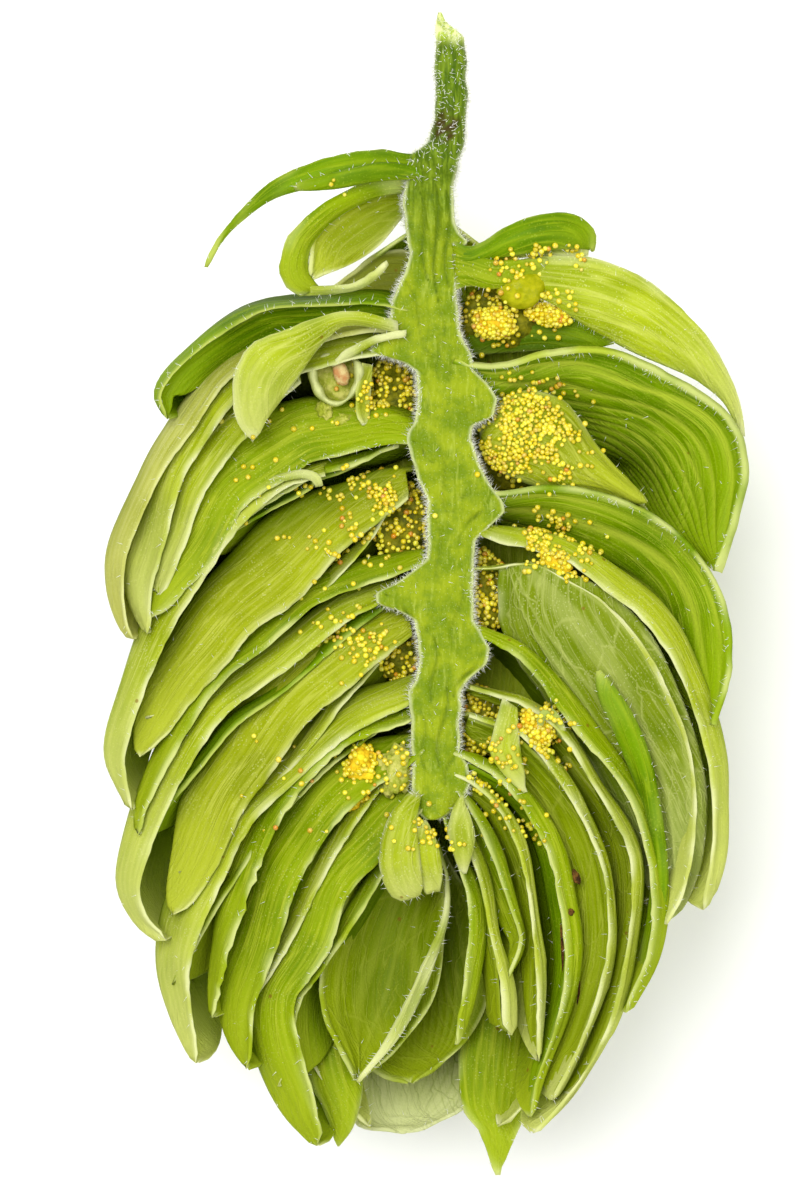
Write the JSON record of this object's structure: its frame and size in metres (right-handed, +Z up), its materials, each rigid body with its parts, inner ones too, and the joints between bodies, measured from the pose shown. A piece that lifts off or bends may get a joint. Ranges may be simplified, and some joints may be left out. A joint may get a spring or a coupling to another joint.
{
  "type": "halved hop cone",
  "caption": "Hop cone cut in half lengthwise, with its short stalk, zigzag strig, layered bracts and yellow lupulin, lying cut face up.",
  "frame": {"origin": "centre of the bounding box's bottom, on the surface that the round back lies on", "axes": "+Y along the cone towards the stalk, +Z up out of the cut face, +X to the right seen from above"},
  "size_m": [0.0258, 0.0467, 0.0133],
  "materials": {
    "stem": "satin",
    "bract_green": "satin",
    "bract_pale": "satin",
    "bract_back": "satin",
    "seed": "matte",
    "lupulin": "gloss"
  },
  "bodies": {
    "root": {"back_bract_1_1": "bract_back", "back_bract_1_2": "bract_back", "back_bract_2_1": "bract_back", "back_bract_2_2": "bract_back", "back_bract_2_3": "bract_back", "back_bract_3_1": "bract_back", "back_bract_3_2": "bract_back", "back_bract_4_1": "bract_back", "back_bract_4_2": "bract_back", "back_bract_4_3": "bract_back", "back_bract_5_1": "bract_back", "back_bract_5_2": "bract_back", "back_bract_6_1": "bract_back", "back_bract_6_2": "bract_back", "back_bract_6_3": "bract_back", "back_bract_7_1": "bract_back", "back_bract_7_2": "bract_back", "bract_left_broad": "bract_pale", "bract_left_curled": "bract_green", "bract_left_folded": "bract_pale", "bract_left_hairy": "bract_green", "bract_left_low_1": "bract_green", "bract_left_low_2": "bract_green", "bract_left_low_3": "bract_green", "bract_left_outer_1": "bract_pale", "bract_left_outer_2": "bract_green", "bract_left_outer_3": "bract_pale", "bract_left_rolled": "bract_green", "bract_left_shoulder": "bract_green", "bract_left_thin": "bract_green", "bract_left_tip_1": "bract_green", "bract_left_top": "bract_green", "bract_right_big": "bract_green", "bract_right_low_1": "bract_green", "bract_right_low_2": "bract_green", "bract_right_pointed": "bract_pale", "bract_right_ribbed": "bract_green", "bract_right_strip": "bract_green", "bract_right_top": "bract_green", "bract_tip_behind": "bract_green", "bract_tip_cup": "bract_pale", "bract_tip_pointed": "bract_green", "bract_tip_veined": "bract_pale", "bracteole_left_dusted": "bract_pale", "bracteole_left_low": "bract_pale", "bracteole_right_dusted": "bract_pale", "bracteole_right_seed": "lupulin", "bracteole_right_veined": "bract_pale", "fan_bract_1": "bract_pale", "fan_bract_2": "bract_green", "fan_bract_3": "bract_green", "fan_bract_4": "bract_green", "fan_bract_5": "bract_green", "scale_strig_end": "bract_green", "seed_half": "seed", "strig": "stem"}
  },
  "joints": []
}
